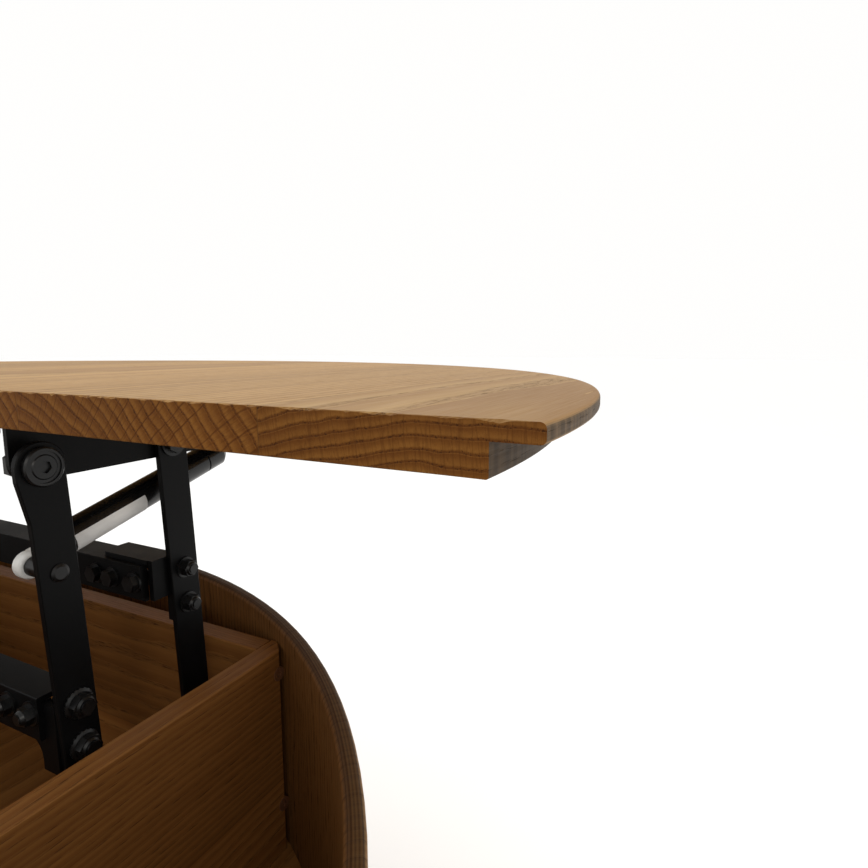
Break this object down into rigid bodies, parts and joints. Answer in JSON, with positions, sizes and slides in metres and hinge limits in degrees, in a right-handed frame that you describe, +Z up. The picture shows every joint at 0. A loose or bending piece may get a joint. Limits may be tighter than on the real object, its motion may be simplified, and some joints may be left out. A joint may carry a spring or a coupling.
{
  "type": "lift top coffee table",
  "caption": "Round drum coffee table whose part-round top rises and slides forward on parallel arms with gas struts over a boxed store.",
  "frame": {"origin": "centre of the glides' underside, on the floor on the drum's axis", "axes": "+Z up, +Y towards the sitter, the way the lift top travels as it rises, +X along the straight split of the top"},
  "size_m": [0.9, 1.1519, 0.5921],
  "materials": {
    "oak_top": "clear satin lacquer on solid oak",
    "drum_veneer": "satin lacquer on bent oak veneer",
    "box_wood": "satin lacquer on oak boards",
    "base_wood": "unfinished board",
    "grey_plastic": "matte",
    "white_nylon": "satin nylon",
    "label": "plain paper label, nothing printed",
    "strut_paint": "gloss black paint",
    "chrome_rod": "ground and chromed",
    "screw_brown": "brown screw heads",
    "screw_black": "black zinc",
    "black_fastener": "black oxide",
    "black_steel": "fine texture powder coat"
  },
  "bodies": {
    "base": {"drum_wall_right": "drum_veneer", "drum_wall_left": "drum_veneer", "base_panel": "base_wood", "glides": "grey_plastic", "support_board_long": "base_wood", "support_boards_cross": "base_wood", "compartment_floor": "box_wood", "side_wall_right": "box_wood", "side_wall_left": "box_wood", "front_wall": "box_wood", "middle_wall": "box_wood", "back_wall": "box_wood", "wall_screws": "screw_brown", "fixed_top_cleats": "box_wood", "fixed_top_panel": "oak_top", "fixed_top_screws": "screw_black", "lid_bumpers": "grey_plastic", "base_rail_right": "black_steel", "base_rail_left": "black_steel", "base_rail_screws": "screw_black", "rear_lower_pivots": "black_fastener", "front_lower_pivots": "black_fastener"},
    "rear_arms": {"rear_arm_right": "black_steel", "rear_arm_left": "black_steel", "rear_crossbar": "black_steel", "rear_crossbar_brackets": "black_steel", "rear_arm_bolts": "black_fastener", "rear_crossbar_bolts": "black_fastener", "strut_lower_pins": "black_fastener"},
    "front_arms": {"front_arm_right": "black_steel", "front_arm_left": "black_steel", "front_crossbar": "black_steel", "front_crossbar_brackets": "black_steel", "front_arm_bolts": "black_fastener", "front_crossbar_bolts": "black_fastener"},
    "lift_top": {"lift_top_panel": "oak_top", "top_rail_right": "black_steel", "top_rail_left": "black_steel", "top_rail_screws": "screw_black", "rear_top_pivots": "black_fastener", "front_top_pivots": "black_fastener", "strut_upper_studs": "black_fastener"},
    "strut_body_right": {"strut_tube_right": "strut_paint", "strut_lower_eye_right": "white_nylon", "strut_label_right": "label"},
    "strut_body_left": {"strut_tube_left": "strut_paint", "strut_lower_eye_left": "white_nylon", "strut_label_left": "label"},
    "strut_piston_right": {"strut_rod_right": "chrome_rod", "strut_upper_eye_right": "black_fastener"},
    "strut_piston_left": {"strut_rod_left": "chrome_rod", "strut_upper_eye_left": "black_fastener"}
  },
  "joints": [
    {"name": "lift", "type": "hinge", "parent": "base", "child": "rear_arms", "pos_m": [0, 0.26209, 0.26326], "axis": [1, 0, 0], "range_deg": [0, 64]},
    {"name": "front_arm_swing", "type": "hinge", "parent": "base", "child": "front_arms", "pos_m": [0, 0.34758, 0.26326], "axis": [1, 0, 0], "range_deg": [0, 64.01]},
    {"name": "top_level", "type": "hinge", "parent": "rear_arms", "child": "lift_top", "pos_m": [0, 0.2495, 0.5515], "axis": [1, 0, 0], "range_deg": [-64.01, 0]},
    {"name": "strut_swing_right", "type": "hinge", "parent": "rear_arms", "child": "strut_body_right", "pos_m": [0.147, 0.25353, 0.49351], "axis": [1, 0, 0], "range_deg": [-71.1, 0]},
    {"name": "strut_slide_right", "type": "slide", "parent": "strut_body_right", "child": "strut_piston_right", "axis": [0, 0.963, 0.2695], "range_m": [-0.05654, 0]},
    {"name": "strut_swing_left", "type": "hinge", "parent": "rear_arms", "child": "strut_body_left", "pos_m": [-0.147, 0.25353, 0.49351], "axis": [1, 0, 0], "range_deg": [-71.1, 0]},
    {"name": "strut_slide_left", "type": "slide", "parent": "strut_body_left", "child": "strut_piston_left", "axis": [0, 0.963, 0.2695], "range_m": [-0.05654, 0]}
  ],
  "couplings": [
    {"joint": "front_arm_swing", "follows": "lift", "ratio": 1},
    {"joint": "top_level", "follows": "lift", "ratio": -1},
    {"joint": "strut_swing_right", "follows": "lift", "ratio": -1.1108},
    {"joint": "strut_slide_right", "follows": "lift", "m_per_rad": -0.050527},
    {"joint": "strut_swing_left", "follows": "lift", "ratio": -1.1108},
    {"joint": "strut_slide_left", "follows": "lift", "m_per_rad": -0.050527}
  ]
}
